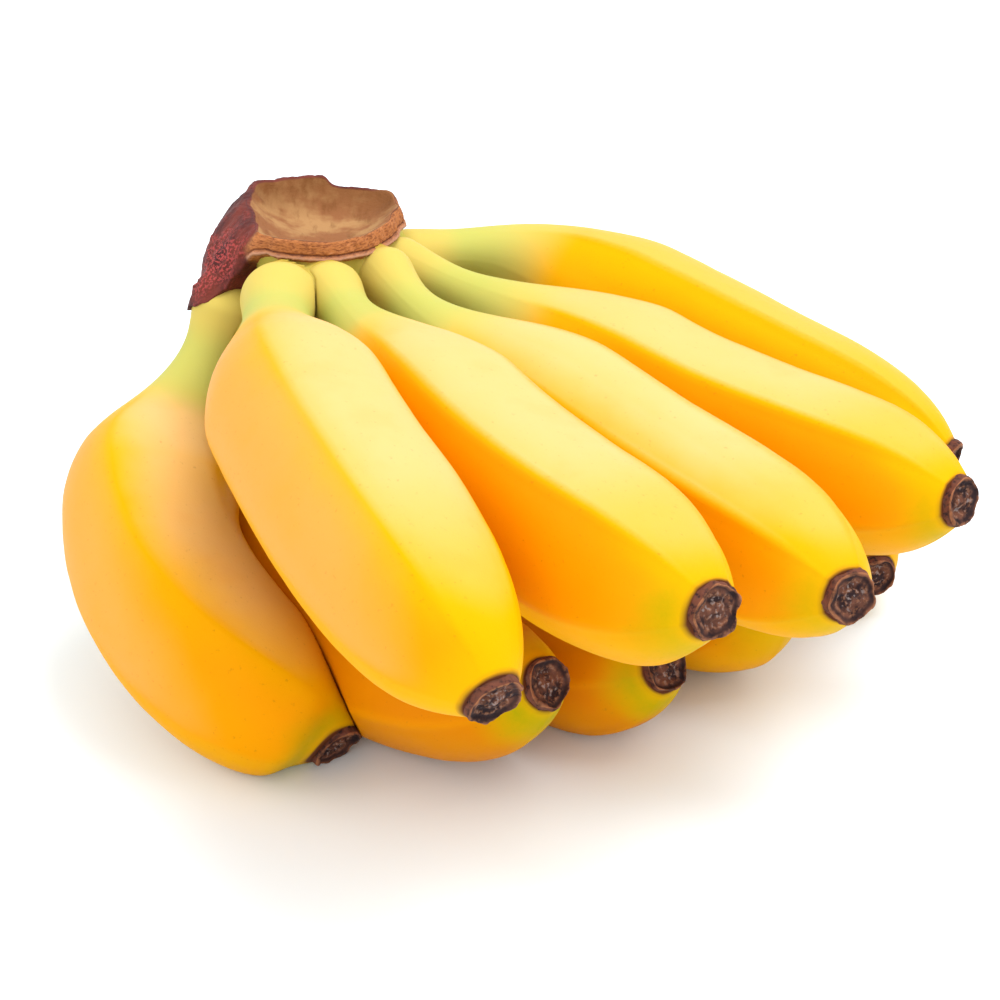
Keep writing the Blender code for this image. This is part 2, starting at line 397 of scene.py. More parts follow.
@dataclass(frozen=True)
class BlossomFinish:
    """Dried blossom end: dark brown crust, ginger fibres, grey bloom in the scar."""

    dark: Colour = shown(58, 38, 40)
    brown: Colour = shown(134, 84, 66)
    ginger: Colour = shown(204, 132, 88)
    bloom: Colour = shown(188, 166, 160)
    collar: Colour = shown(142, 82, 62)

    def make(self) -> Material:
        """Crust in three browns by noise, a red-brown collar and paler high spots."""
        graph = Graph("blossom_end")
        clump = graph.grain(2.4, 2.0, 0.5)
        crumb = graph.grain(0.8, 2.0, 0.6)
        colour = graph.coats(
            self.dark,
            (self.brown, clump.ramp(0.40, 0.62)),
            (self.collar, graph.value("collar") * crumb.ramp(0.35, 0.60) * 0.8),
            (self.ginger, graph.value("ringed") * crumb.ramp(0.42, 0.62) * 0.5),
            (self.dark, graph.value("groove") * 0.75),
            (self.ginger, graph.value("lip") * (0.25 + clump.ramp(0.40, 0.60) * 0.6)),
            (self.bloom, crumb.ramp(0.54, 0.70) * graph.value("scar") * 0.8),
        )
        relief = crumb * 0.6 + clump * 0.4
        graph.constants(Specular_IOR_Level=0.15)
        return graph.finish(colour, 0.86 - crumb * 0.12, relief, 0.30)


@dataclass(frozen=True)
class CrownFinish:
    """Dried crown: tan hollow face, fibrous brown rim, maroon skin end with a raw red patch."""

    tan: Colour = shown(184, 120, 74)
    straw: Colour = shown(220, 166, 108)
    umber: Colour = shown(144, 88, 40)
    rim: Colour = shown(230, 146, 86)
    rim_dark: Colour = shown(158, 90, 54)
    edge: Colour = shown(104, 54, 54)
    pink: Colour = shown(232, 176, 146)
    skin: Colour = shown(146, 66, 54)
    skin_dark: Colour = shown(88, 40, 40)
    raw: Colour = shown(222, 92, 88)

    def make(self) -> Material:
        """Choose the zone by the mesh's own numbers and grain each one at its own scale."""
        graph = Graph("crown_crust")
        broad = graph.grain(7.0, 3.0, 0.55)
        streak = graph.grain(2.2, 3.0, 0.6, graph.place((1.3, 0.35, 1.0)))
        fibre = graph.grain(0.7, 3.0, 0.65, graph.place((0.6, 0.6, 2.4)))
        crumb = graph.grain(0.5, 2.0, 0.6)
        face = graph.coats(
            self.tan,
            (self.straw, broad.ramp(0.42, 0.64)),
            (self.umber, streak.ramp(0.52, 0.74) * 0.5),
            # painted shade: umber on the back slope of the hollow face
            (self.umber, graph.value("scorch") * (0.40 + streak * 0.75)),
        )
        band = graph.coats(
            self.rim_dark, (self.rim, fibre.ramp(0.30, 0.60)), (self.pink, fibre.ramp(0.60, 0.80) * 0.45)
        )
        skin = graph.coats(
            self.skin_dark,
            (self.skin, broad.ramp(0.30, 0.60)),
            (self.raw, graph.value("raw") * crumb.ramp(0.46, 0.62)),
            (self.raw, crumb.ramp(0.60, 0.80) * 0.22),
        )
        colour = graph.coats(
            face,
            (band, graph.value("band")),
            (skin, graph.value("hood")),
            (self.edge, graph.value("edge") * 0.8),
            (self.pink, graph.value("hem") * 0.8),
        )
        relief = fibre * 0.5 + crumb * (0.3 + graph.value("raw") * 0.8) + streak * 0.25
        graph.constants(Specular_IOR_Level=0.15)
        return graph.finish(colour, 0.78 - graph.value("hood") * 0.14, relief, 0.28)


@dataclass(frozen=True)
class FlankFinish:
    """Living flesh of the crown between the stalks: yellow with green hollows."""

    yellow: Colour = shown(244, 218, 100)
    green: Colour = shown(228, 222, 96)
    amber: Colour = shown(238, 190, 70)

    def make(self) -> Material:
        """Yellow to green by broad noise, amber in a thin line under the rim."""
        graph = Graph("crown_flank")
        broad = graph.grain(6.0, 2.0, 0.5)
        speck = graph.grain(0.9, 2.0, 0.6)
        colour = graph.coats(
            self.yellow,
            (self.green, broad.ramp(0.38, 0.66) * 0.7),
            (self.amber, graph.value("seam") * (0.4 + speck * 0.6)),
        )
        graph.constants(Specular_IOR_Level=0.08, Subsurface_Weight=0.10)
        graph.constants(Subsurface_Radius=(1.0, 0.6, 0.15), Subsurface_Scale=2.5 * MM)
        return graph.finish(colour, 0.46 + speck * 0.1, speck * 0.6 + broad * 0.4, 0.06)


@dataclass(frozen=True)
class TableFinish:
    """A plain white matt table top."""

    white: Colour = (0.80, 0.89, 0.94)
    cloudy: Colour = (0.81, 0.90, 0.95)

    def make(self) -> Material:
        """Two whites, hardly apart, mixed by a broad noise."""
        graph = Graph("table_top")
        cloud = graph.grain(40.0, 2.0, 0.5)
        graph.constants(Specular_IOR_Level=0.05)
        colour = graph.mix(self.white, self.cloudy, cloud)
        return graph.finish(colour, 0.7, None, 0.0)


# ---- growth of the hand ----


@dataclass(frozen=True)
class CrownPlan:
    """Where the crown stands and how big it is."""

    axis: tuple[float, float] = (-33.0, 49.5)
    width: float = 28.0
    depth: float = 36.0
    height: float = 23.5
    rim_height: float = 69.6
    tilt_x: float = -0.08
    tilt_y: float = -0.15
    dish: float = 4.6

    @property
    def half(self) -> Array:
        """Half the width and half the depth."""
        return np.array([0.5 * self.width, 0.5 * self.depth])

    def plane(self, x: Array, y: Array) -> Array:
        """Height of the cut face plane above the table."""
        return self.rim_height + self.tilt_x * (x - self.axis[0]) + self.tilt_y * (y - self.axis[1])


@dataclass(frozen=True)
class Habit:
    """What all ten fingers share."""

    length: float = 118.0
    girth: float = 32.0
    stalk: float = 0.30
    flare: float = 0.10
    stalk_end: float = 0.12
    body_start: float = 0.45
    taper_start: float = 0.60
    taper_power: float = 4.5
    tip: float = 0.235
    ridges: int = 5
    bend: float = 0.38
    root_depth: float = 4.0
    press: float = 1.0
    gap: float = 0.25


class Row(Enum):
    """The two rows of a hand: the upper one hangs, the lower one lies under it."""

    UPPER = "upper"
    LOWER = "lower"


@dataclass(frozen=True)
class Skin:
    """How one finger's surface differs from the others'.

    edge is how flat its sides are, neck its stalk's thickness over the usual one, the third value how strong the
    painted highlight on its lit sides is, green how strong the green zone is, and face how far its blossom end leans
    off the curve, in degrees.
    """

    edge: float
    neck: float
    painted_highlight: float
    green: float
    face: float = 6.0


@dataclass(frozen=True)
class Growth:
    """One finger's own values, the same as in the solid model.

    root is in shares of the crown's half width and half depth, and mm below the cut face plane. turn and
    pitch are headings in degrees at the stalk, the neck and the blossom end. length and girth are shares
    of the hand's own, roll turns the ridges around the curve, and rests says that it lies on the table.
    """

    row: Row
    number: int
    root: tuple[float, float, float]
    turn: tuple[float, float, float]
    pitch: tuple[float, float, float]
    length: float
    girth: float
    roll: float
    rests: bool
    skin: Skin

    @property
    def name(self) -> str:
        """The node's name."""
        return f"{self.row.value}_finger_{self.number}"


HAND = (
    Growth(Row.UPPER, 1, (-1.26, -0.69, 15.0), (-136, -102, 1), (-68, -22, -34), 0.95, 1.01, 43, True,
           Skin(0.14, 0.94, 0.80, 0.70, 44.0)),
    Growth(Row.UPPER, 2, (-0.46, -1.32, 8.9), (-92, -77.5, -52), (3, 5, -24), 1.13, 1.03, 41, False,
           Skin(0.16, 1.25, 0.80, 0.10)),
    Growth(Row.UPPER, 3, (0.15, -1.14, 8.6), (-73, -61, -47), (5, -9, 8), 1.10, 1.04, 45, False,
           Skin(0.46, 0.95, 0.82, 0.60)),
    Growth(Row.UPPER, 4, (0.82, -0.59, 7.8), (-66, -39, -56), (-5, -16, 8), 1.08, 0.98, 58, False,
           Skin(0.50, 0.92, 0.86, 0.55)),
    Growth(Row.UPPER, 5, (0.99, -0.04, 9.0), (-27, -32, -36), (-10, -16, 9), 1.05, 0.95, 47, False,
           Skin(0.50, 0.90, 0.74, 0.55)),
    Growth(Row.UPPER, 6, (1.08, 0.54, 11.3), (35, -34, -24), (-5, -12, -15), 1.01, 0.87, 32, False,
           Skin(0.44, 1.05, 0.30, 0.10)),
    Growth(Row.LOWER, 1, (-0.90, -0.71, 19.9), (-108, -59, -40), (-78, -8, 28), 1.02, 0.94, 45, True,
           Skin(0.24, 1.00, 0.40, 0.95)),
    Growth(Row.LOWER, 2, (-0.11, -0.90, 19.2), (-38, -45, -45), (-53, -43, 29), 0.93, 0.92, 30, True,
           Skin(0.24, 1.00, 0.40, 0.85)),
    Growth(Row.LOWER, 3, (0.54, -0.54, 18.7), (5, -31, -57), (-37, -37, 34), 0.94, 0.94, 60, True,
           Skin(0.26, 1.00, 0.40, 0.40)),
    Growth(Row.LOWER, 4, (0.88, 0.08, 18.7), (17, 1, -67), (-54, -9, -10), 0.99, 0.95, 50, True,
           Skin(0.26, 1.00, 0.40, 0.30)),
)


class Finger:
    """The curve, radii and skin of one banana."""

    SAMPLES = 97
    RIDGE_ROUND = 0.05  # radians over which a ridge is rounded

    def __init__(self, growth: Growth, habit: Habit, crown: CrownPlan) -> None:
        """Grow the curve from its root and lay it on the table if it rests."""
        self.growth = growth
        self.habit = habit
        self.length = habit.length * growth.length
        self.radius = 0.5 * habit.girth * growth.girth
        x = crown.axis[0] + 0.5 * crown.width * growth.root[0]
        y = crown.axis[1] + 0.5 * crown.depth * growth.root[1]
        self.t = np.linspace(0.0, 1.0, self.SAMPLES)
        ahead = self.frame(self.t)[0]
        start = np.array([x, y, crown.plane(x, y) - growth.root[2]]) - habit.root_depth * ahead[0]
        step = 0.5 * (ahead[1:] + ahead[:-1]) * self.length / (self.SAMPLES - 1)
        self.spine = start + np.vstack([np.zeros(3), np.cumsum(step, axis=0)])
        if growth.rests:
            self.settle()

    def frame(self, t: Array) -> tuple[Array, Array, Array]:
        """Ahead, sideways and upward unit vectors.

        The heading eases from the stalk's to the neck's over the bend, then runs evenly to the tip's.

        Args:
            t: shares of the length.

        Returns:
            Three arrays of unit vectors.
        """
        neck = 1.0 - smooth(t / self.habit.bend)
        body = np.clip((t - self.habit.bend) / (1.0 - self.habit.bend), 0.0, 1.0)
        turn, pitch = (
            np.radians(middle + (start - middle) * neck + (end - middle) * body)
            for start, middle, end in (self.growth.turn, self.growth.pitch)
        )
        ahead = np.stack([np.cos(pitch) * np.cos(turn), np.cos(pitch) * np.sin(turn), np.sin(pitch)], -1)
        side = np.stack([-np.sin(turn), np.cos(turn), np.zeros_like(turn)], -1)
        up = np.stack([-np.sin(pitch) * np.cos(turn), -np.sin(pitch) * np.sin(turn), np.cos(pitch)], -1)
        return ahead, side, up

    def tip_axes(self) -> list[Array]:
        """Ahead, sideways and upward at the blossom end."""
        return [axis[0] for axis in self.frame(np.array([1.0]))]

    def radii(self, t: Array) -> Array:
        """Round radius along the finger: stalk, eased swell to full, late taper, with a ball for a root."""
        habit = self.habit
        stalk = habit.stalk * self.growth.skin.neck
        swell = stalk + (1.0 - stalk) * rise(t, habit.stalk_end, habit.body_start - habit.stalk_end)
        swell = swell + habit.flare * (1.0 - smooth(t / habit.stalk_end))
        past = np.clip((t - habit.taper_start) / (1.0 - habit.taper_start), 0.0, 1.0)
        radius = self.radius * swell * (1.0 - (1.0 - habit.tip) * past**habit.taper_power)
        along = np.clip(t * self.length / radius, 0.0, 1.0)
        return radius * np.sqrt(1.0 - (1.0 - along) ** 2)

    def crest(self, angle: Array) -> Array:
        """Angle from each point of the section to the nearest ridge, rounded where the ridge is."""
        sector = 2.0 * math.pi / self.habit.ridges
        away = 0.5 * sector - np.abs(np.mod(angle, sector) - 0.5 * sector)
        return np.sqrt(away**2 + self.RIDGE_ROUND**2) - self.RIDGE_ROUND

    def section(self, t: Array, angle: Array, edge: float) -> Array:
        """Radius around the finger: a pentagon's polar curve blended with a circle, 1 on the ridges.

        The flats fade toward the stalk and the blossom end.
        """
        edge = (edge * rise(t, 0.16, 0.20) * (1.0 - 0.65 * rise(t, 0.84, 0.14)))[:, None]
        half = math.pi / self.habit.ridges
        spread = 1.0 / ((1.0 - edge) + edge * np.cos(half - self.crest(angle)))
        return spread * ((1.0 - edge) + edge * math.cos(half))

    def at(self, t: Array) -> Array:
        """Points of the curve."""
        return np.stack([np.interp(t, self.t, self.spine[:, axis]) for axis in range(3)], -1)

    def surface(self, t: Array, angle: Array, edge: float | None = None) -> tuple[Array, Array]:
        """Ring centres and skin points, before neighbours press on them.

        Args:
            t: shares of the length.
            angle: places around the section.
            edge: how flat the sides are, or nothing for this finger's own value.

        Returns:
            The ring centres, and rings by sides by three.
        """
        centre = self.at(t)
        _, side, up = self.frame(t)
        reach = self.radii(t)[:, None] * self.section(t, angle, self.growth.skin.edge if edge is None else edge)
        turned = angle + math.radians(self.growth.roll)
        out = np.cos(turned)[None, :, None] * side[:, None, :] + np.sin(turned)[None, :, None] * up[:, None, :]
        return centre, centre[:, None, :] + reach[:, :, None] * out

    def settle(self) -> None:
        """Bend the body down or up so that its belly just presses on the table."""
        t = np.linspace(0.15, 0.95, 41)
        angle = 2.0 * math.pi * np.arange(40) / 40
        for _ in range(6):
            low = self.surface(t, angle)[1][:, :, 2].min(axis=1)
            k = int(np.argmin(low))
            lift = -self.habit.press - low[k]
            self.spine[:, 2] += lift * smooth(self.t / 0.5) / max(float(smooth(t[k] / 0.5)), 0.2)

    def distance(self, points: Array) -> Array:
        """Signed distance to the round body, as a string of balls along the curve."""
        radii = self.radii(self.t)
        best = np.full(len(points), np.inf)
        for centre, radius in zip(self.spine[::2], radii[::2]):
            best = np.minimum(best, np.linalg.norm(points - centre, axis=1) - radius)
        return best


@dataclass
class Banana:
    """One banana of the hand: its peel with the stalk, and its blossom end.

    shift brings the hand to the frame's origin.
    """

    finger: Finger
    others: list[Finger]
    shift: Array
    sides: int = 120
    rings: int = 210
    end_sides: int = 96
    end_rings: int = 84
    dent: float = 0.30  # height of the broad dents
    seam: float = 0.24  # height of the seam on a ridge
    halvings: int = 11  # steps of the search for where two neighbours meet
    sharp_edge: float = 0.85  # flatness of the section that the colours follow
    lean_share: float = 0.09  # last share of the length, which leans with the blossom end
    lean_limit: float = 4.5  # furthest that the lean moves a point along the curve

    @property
    def seed(self) -> int:
        """The finger's own number for every random pattern."""
        return 10 * self.finger.growth.number + (5 if self.finger.growth.row is Row.LOWER else 0)

    def facing(self) -> Array:
        """The way the blossom end faces: the curve's heading, leaning sideways toward the front."""
        ahead, side, up = self.finger.tip_axes()
        lean = math.radians(self.finger.growth.skin.face)
        sideways = -side + 0.3 * up * math.sin(self.seed)
        way = math.cos(lean) * ahead + math.sin(lean) * sideways / np.linalg.norm(sideways)
        return way / np.linalg.norm(way)

    def slanted(self, points: Array, t: Array) -> Array:
        """Shear the end of the finger along its heading, so that its last ring faces the blossom's way."""
        ahead = self.finger.tip_axes()[0]
        way = self.facing()
        tilt = way / (way @ ahead) - ahead
        off = (points - self.finger.spine[-1]) @ tilt
        late = rise(t, 1.0 - self.lean_share, self.lean_share)
        return points - (late[:, None] * self.lean_limit * np.tanh(off / self.lean_limit))[..., None] * ahead

    def pressed(self, points: Array, anchors: Array) -> Array:
        """Pull points toward their ring centres until they are nearer to this finger than to any other.

        The share of the way is found by halving, for all points at once.
        """
        reach = np.linalg.norm(points - anchors, axis=1)
        near = [other for other in self.others if other.distance(anchors).min() < reach.max() + 4.0]
        if not near:
            return points

        def excess(p: Array) -> Array:
            closest = np.min([other.distance(p) for other in near], axis=0)
            return self.finger.distance(p) - closest + self.finger.habit.gap

        share = np.ones(len(points))
        bad = np.flatnonzero(excess(points) > 0.0)
        inner = np.zeros(len(bad))
        outer = np.ones(len(bad))
        for _ in range(self.halvings):
            middle = 0.5 * (inner + outer)
            over = excess(anchors[bad] + middle[:, None] * (points[bad] - anchors[bad])) > 0.0
            outer = np.where(over, middle, outer)
            inner = np.where(over, inner, middle)
        share[bad] = inner
        return anchors + share[:, None] * (points - anchors)

    def peel(self, material: Material) -> Piece:
        """The skin over the share of the length and the angle, with faint dents, and its colour zones."""
        finger = self.finger
        ease = np.linspace(0.0, 1.0, self.rings)
        t = 0.004 + 0.988 * (0.75 * ease + 0.25 * smooth(ease))
        angle = 2.0 * math.pi * np.arange(self.sides) / self.sides
        centre, points = finger.surface(t, angle)
        out = points - centre[:, None, :]
        size = np.maximum(np.linalg.norm(out, axis=-1, keepdims=True), 1e-6)
        dents = noise(points, 19.0, self.seed, 2) * self.dent + noise(points, 5.0, self.seed + 3, 2) * 0.05
        seam = self.seam * bell(finger.crest(angle), 0.0, 0.04) * min(1.0, 2.0 * finger.growth.skin.edge)
        seam = seam[None, :] * (0.4 + 0.9 * rise(t, 0.45, 0.3))[:, None]
        dents = (dents + seam) * np.clip(size[..., 0] / finger.radius, 0.0, 1.0)
        points = self.slanted(points + out / size * dents[..., None], t)
        anchors = np.repeat(centre, self.sides, axis=0)
        points = self.pressed(points.reshape(-1, 3), anchors).reshape(self.rings, self.sides, 3)
        points[..., 2] = np.maximum(points[..., 2], 0.0)
        piece = tube_mesh(finger.growth.name + "_peel", points + self.shift, self.zones(t, angle, points))
        piece.data.materials.append(material)
        return piece

    def zones(self, t: Array, angle: Array, points: Array) -> dict[str, Array]:
        """Numbers from 0 to 1 that say where each colour of the peel lies.

        The painted highlight and the painted shade follow the way the surface faces the light, taken partly from a
        sharper five-sided section, so that the colour turns quickly at a ridge.
        """
        finger = self.finger
        skin = finger.growth.skin
        facet = grid_normals(finger.surface(t, angle, self.sharp_edge)[1])
        normal = grid_normals(points)
        sharp = min(0.6, 1.4 * skin.edge)
        bright = (0.8 * normal + 0.2 * facet) @ SUN
        sunny = ((1.0 - sharp) * normal + sharp * facet) @ SUN
        wave = noise(points, 24.0, self.seed + 7, 2)
        ripple = noise(points, 7.0, self.seed + 9, 3)
        along = t[:, None] + 0.0 * angle[None, :]
        ending = 1.0 - rise(along, 0.93, 0.06)
        body = rise(along, 0.20, 0.16) * ending
        upper = finger.growth.row is Row.UPPER
        front = upper and finger.growth.number <= 2
        low_front = not upper and finger.growth.number <= 2
        leftward = smooth((-0.15 - normal[..., 0] + 0.12 * wave) / 0.60)
        late = rise(along, 0.900 - 0.02 * wave - 0.01 * ripple, 0.085) * (1.0 - 0.55 * rise(along, 0.972, 0.02))
        # painted highlight where the surface faces the light
        lit = rise(bright + 0.04 * wave, 0.70, 0.30) * rise(along, 0.17, 0.10) * ending
        # painted shade on the facets that face away from the light
        flank = smooth((0.66 - sunny + 0.05 * wave) / 0.42) * body * rise(along, 0.27, 0.26)
        below = smooth((-0.05 - normal[..., 2]) / 0.5)
        return {
            "lit": lit * skin.painted_highlight * (1.0 - 0.6 * rise(along, 0.70, 0.2)),
            "flank": flank * (0.75 if front else 1.0) * (1.0 - 0.7 * below),
            # painted shade on the lower front fingers, which lie under the upper row
            "low": 0.7 * body * (1.0 - late) * low_front,
            # painted shade on the left-facing sides of the front fingers
            "blush": leftward * rise(normal[..., 2], -0.35, 0.4) * body * front,
            "crest": bell(finger.crest(angle), 0.0, 0.045)[None, :] * min(1.0, skin.edge / 0.45) * body,
            "root": 1.0 - rise(along, 0.20 + 0.03 * wave, 0.13),
            "stalk": rise(along, 0.065, 0.07) * (1.0 - rise(along, 0.17 + 0.04 * wave, 0.13)),
            # green before the blossom end is the peel's own colour; its weakening on the faces toward the light is
            # painted highlight
            "tip": late * skin.green * (1.0 - 0.65 * rise(sunny, 0.15, 0.6)),
            "freckle": body,
            "singe": rise(along, 0.987 + 0.001 * ripple, 0.004),
        }

    def blossom(self, material: Material) -> Piece:
        """The dried end: a low crusty button with a raised lip and a hollow scar.

        A profile of radius and height goes around the end of the curve. The radius is lobed and the whole
        skin is roughened by noise.
        """
        finger = self.finger
        lip = 0.97 * finger.radii(np.array([0.992]))[0]
        share = np.array([0.50, 0.78, 0.96, 1.02, 1.03, 1.00, 0.93, 0.83, 0.70, 0.50, 0.28, 0.12, 0.02])
        height = np.array([-2.8, -2.2, -1.6, -1.0, -0.4, 0.25, 0.62, 0.35, -0.15, -0.45, -0.10, 0.25, 0.32])
        profile = spline(np.stack([share * lip, height], -1), self.end_rings)
        angle = 2.0 * math.pi * np.arange(self.end_sides) / self.end_sides
        tilt = self.facing()
        across = np.cross(finger.tip_axes()[2], tilt)
        across = across / np.linalg.norm(across)
        over = np.cross(tilt, across)
        ring = np.cos(angle)[:, None] * across + np.sin(angle)[:, None] * over
        lobes = 1.0 + 0.035 * np.cos(5.0 * angle + self.seed) + 0.05 * noise(4.0 * ring, 2.0, self.seed, 2)
        outward = rise(profile[:, 0] / lip, 0.2, 0.6)[:, None] * (lobes - 1.0)[None, :]
        radius = profile[:, 0][:, None] * (1.0 + outward)
        centre = finger.spine[-1] + profile[:, 1][:, None, None] * tilt
        points = centre + radius[:, :, None] * ring[None]
        normal = grid_normals(points)
        step = np.arange(self.end_rings) / self.end_rings
        free = rise(step, 0.12, 0.14)[:, None]
        rough = noise(points, 2.2, self.seed + 1, 2) * 0.40 + np.abs(noise(points, 1.1, self.seed + 2, 2)) * 0.18
        turns = 2.0 * math.pi * 3.2 * profile[:, 0][:, None] / lip + 1.6 * noise(points, 3.0, self.seed + 6, 2)
        points = points + normal * (free * (rough - 0.12 + 0.12 * np.cos(turns)))[..., None]
        points[..., 2] = np.maximum(points[..., 2], 0.05)
        flat = np.ones(self.end_sides)[None, :]
        radial = (profile[:, 0] / lip)[:, None] * flat
        on_top = (step > 0.45)[:, None] * flat
        values = {
            "lip": bell(radial, 0.97, 0.06) * on_top,
            "groove": bell(radial, 0.80, 0.07) * on_top,
            "ringed": smooth(0.5 + 0.5 * np.cos(turns)) * on_top,
            "scar": smooth((0.80 - radial) / 0.4) * on_top,
            "collar": (1.0 - on_top) * rise(radial, 0.8, 0.2),
        }
        piece = tube_mesh(finger.growth.name + "_blossom", points + self.shift, values)
        piece.data.materials.append(material)
        return piece

    def build(self, peel: Material, blossom: Material) -> None:
        """Make both pieces and tie them to the frame."""
        node = self.finger.growth.name
        skin = self.peel(peel)
        end = self.blossom(blossom)
        for piece in (skin, end):
            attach(piece, "root")
            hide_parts(node)
            LOG.info("%s: %d faces", piece.name, len(piece.data.polygons))


@dataclass
class Crown:
    """The crown: the dried cap with its hollow face, rim and skin end, and the living flank under it."""

    plan: CrownPlan
    fingers: list[Finger]
    shift: Array
    cap_sides: int = 420
    cap_rings: int = 200
    flank_sides: int = 300
    flank_rings: int = 130
    heart: float = 10.0  # depth below the cut face of the point that the flesh is measured from
    nearest: float = 6.0  # least and most that the flesh reaches from there
    furthest: float = 28.0
    softness: float = 0.8  # width over which a root ball melts into the block
    drape: float = 0.75  # clear space between the hanging skin end and the stalk under it

    def around(self, angle: Array, stops: tuple[tuple[float, float], ...]) -> Array:
        """A value around the crown, eased between stops of (degrees, value) that wrap at 360."""
        degrees = np.degrees(angle) % 360.0
        places = np.array([stop[0] % 360.0 for stop in stops])
        order = np.argsort(places)
        places = places[order]
        values = np.array([stop[1] for stop in stops])[order]
        places = np.concatenate([[places[-1] - 360.0], places, [places[0] + 360.0]])
        values = np.concatenate([[values[-1]], values, [values[0]]])
        k = np.clip(np.searchsorted(places, degrees, side="right") - 1, 0, len(places) - 2)
        share = smooth((degrees - places[k]) / (places[k + 1] - places[k]))
        return values[k] + share * (values[k + 1] - values[k])

    def outline(self, angle: Array) -> Array:
        """Share of the plan ellipse that the cut face reaches, around the crown."""
        return self.around(
            angle,
            ((-134, 1.13), (-120, 1.09), (-102, 1.01), (-80, 0.96), (-55, 0.88), (-26, 0.85), (3, 0.92),
             (24, 1.08), (44, 1.20), (62, 1.13), (80, 0.97), (96, 1.05), (113, 1.02), (128, 1.06), (140, 1.19),
             (157, 1.06), (170, 1.00), (-164, 0.92), (-146, 1.00)),
        )

    def cap(self, material: Material) -> Piece:
        """The dried cap.

        A profile goes around the axis: from the middle of the hollow, over the lip, down the skirt and back
        under. The cut face's outline is a share of the plan ellipse around the crown. The skirt is short at
        the rim and long at the skin end, which also stands out over the first stalk.
        """
        angle = -2.0 * math.pi * np.arange(self.cap_sides) / self.cap_sides
        outline = self.outline(angle)
        skirt = self.around(
            angle,
            ((-124, 3.5), (-130, 4.0), (-135, 5.7), (-138, 8.1), (-141, 10.7), (-146, 13.2), (-151, 14.4),
             (-156, 16.2), (-166, 15.8), (-178, 14.2), (150, 11.0), (120, 8.0), (85, 5.5), (50, 4.0), (20, 3.6),
             (-25, 4.0), (-90, 3.5)),
        )
        reach = self.around(
            angle,
            ((-122, 0.9), (-135, 2.6), (-140, 5.5), (-147, 8.0), (-157, 10.2), (-172, 9.6), (165, 7.5), (140, 3.5),
             (100, 1.2), (60, 0.8), (0, 1.2), (-60, 1.1)),
        )
        lip = self.around(
            angle,
            ((-118, 0.2), (-150, 0.4), (178, 0.8), (140, 1.2), (115, 1.7), (92, 1.8), (83, 0.4), (66, 0.0),
             (44, 0.5), (20, 0.4), (-20, 0.2)),
        )
        wander = noise(np.stack([3.0 * np.cos(angle), 3.0 * np.sin(angle), 0.0 * angle], -1), 1.0, 4, 3)
        skirt = skirt * (1.0 + 0.05 * wander)
        flat = np.ones_like(angle)
        share = [0.02, 0.24, 0.46, 0.66, 0.82, 0.92, 0.965, 0.99, 1.01, 1.02, 1.01, 1.01, 1.01, 1.0, 0.97, 0.80, 0.4]
        dish = self.plan.dish
        under = np.maximum(skirt - 0.2, dish + 1.4)
        drop = [
            dish * flat, dish * 0.97 * flat, dish * 0.86 * flat, dish * 0.62 * flat, dish * 0.34 * flat - 0.3 * lip,
            dish * 0.13 * flat - 0.7 * lip, 0.10 - lip, -0.05 - lip, 0.05 - lip, 0.40 - 0.8 * lip, 0.25 * skirt,
            0.52 * skirt, 0.80 * skirt, skirt, skirt + 0.3, under, under + 0.8,
        ]
        out = [0.0] * 8 + [0.03, 0.17, 0.58, 0.80, 0.96, 1.0, 0.95, 0.7, 0.2]
        controls = np.stack(
            [np.array(share)[:, None] * outline, np.stack(drop), np.array(out)[:, None] * reach], axis=-1
        )
        profile = spline(controls, self.cap_rings)
        ray = np.stack([np.cos(angle), np.sin(angle)], -1)
        edge_wave = 1.0 + 0.007 * wander[None, :] * smooth(profile[..., 0] / 0.9)
        plan = (profile[..., 0] * edge_wave)[..., None] * ray * self.plan.half + profile[..., 2][..., None] * ray
        x = self.plan.axis[0] + plan[..., 0]
        y = self.plan.axis[1] + plan[..., 1]
        points = np.stack([x, y, self.plan.plane(x, y) - profile[..., 1]], -1)
        points = self.draped(points, profile[..., 1] / skirt)
        values = self.cap_zones(angle, profile, skirt, points)
        normal = grid_normals(points)
        layers = values.pop("layers")
        fibres = noise(points * np.array([1.0, 1.0, 0.45]), 1.0, 5, 3)
        crumbs = np.abs(noise(points, 1.3, 8, 3))
        folds = noise(points * np.array([0.5, 1.0, 1.0]), 4.5, 9, 2)
        relief = values["band"] * (layers + 0.20 * fibres)
        relief += values["hood"] * (0.12 * fibres + 0.10 * folds + values["raw"] * (0.50 * crumbs - 0.08))
        relief += (1.0 - values["band"]) * (1.0 - values["hood"]) * (0.26 * folds + 0.05 * fibres)
        points = points + normal * relief[..., None]
        piece = tube_mesh("crown_cap", points + self.shift, values)
        piece.data.materials.append(material)
        return piece

    def draped(self, points: Array, level: Array) -> Array:
        """Push the hanging skin end outward, level by level, until it clears the first stalk it covers.

        Args:
            points: the cap's grid.
            level: how far down the skirt each point is, 0 at the top and 1 at the hem.

        Returns:
            The grid with the skin end lying over the stalk.
        """
        out = points - np.array([*self.plan.axis, 0.0])
        out[..., 2] = 0.0
        out /= np.linalg.norm(out, axis=-1, keepdims=True)
        want = self.drape * rise(level, 0.1, 0.3)
        left = smooth((self.plan.axis[0] - 6.0 - points[..., 0]) / 2.0)
        push = np.zeros(level.shape)
        for _ in range(24):
            gap = self.fingers[0].distance((points + push[..., None] * out).reshape(-1, 3)).reshape(level.shape)
            push += left * np.clip(want - gap, 0.0, 1.0) * (level > 0.05) * (level < 1.04)
        for _ in range(40):
            push = (push + np.roll(push, 1, axis=1) + np.roll(push, -1, axis=1)) / 3.0
            push[1:-1] = (push[:-2] + push[1:-1] + push[2:]) / 3.0
        return points + np.clip(push, 0.0, 9.0)[..., None] * out

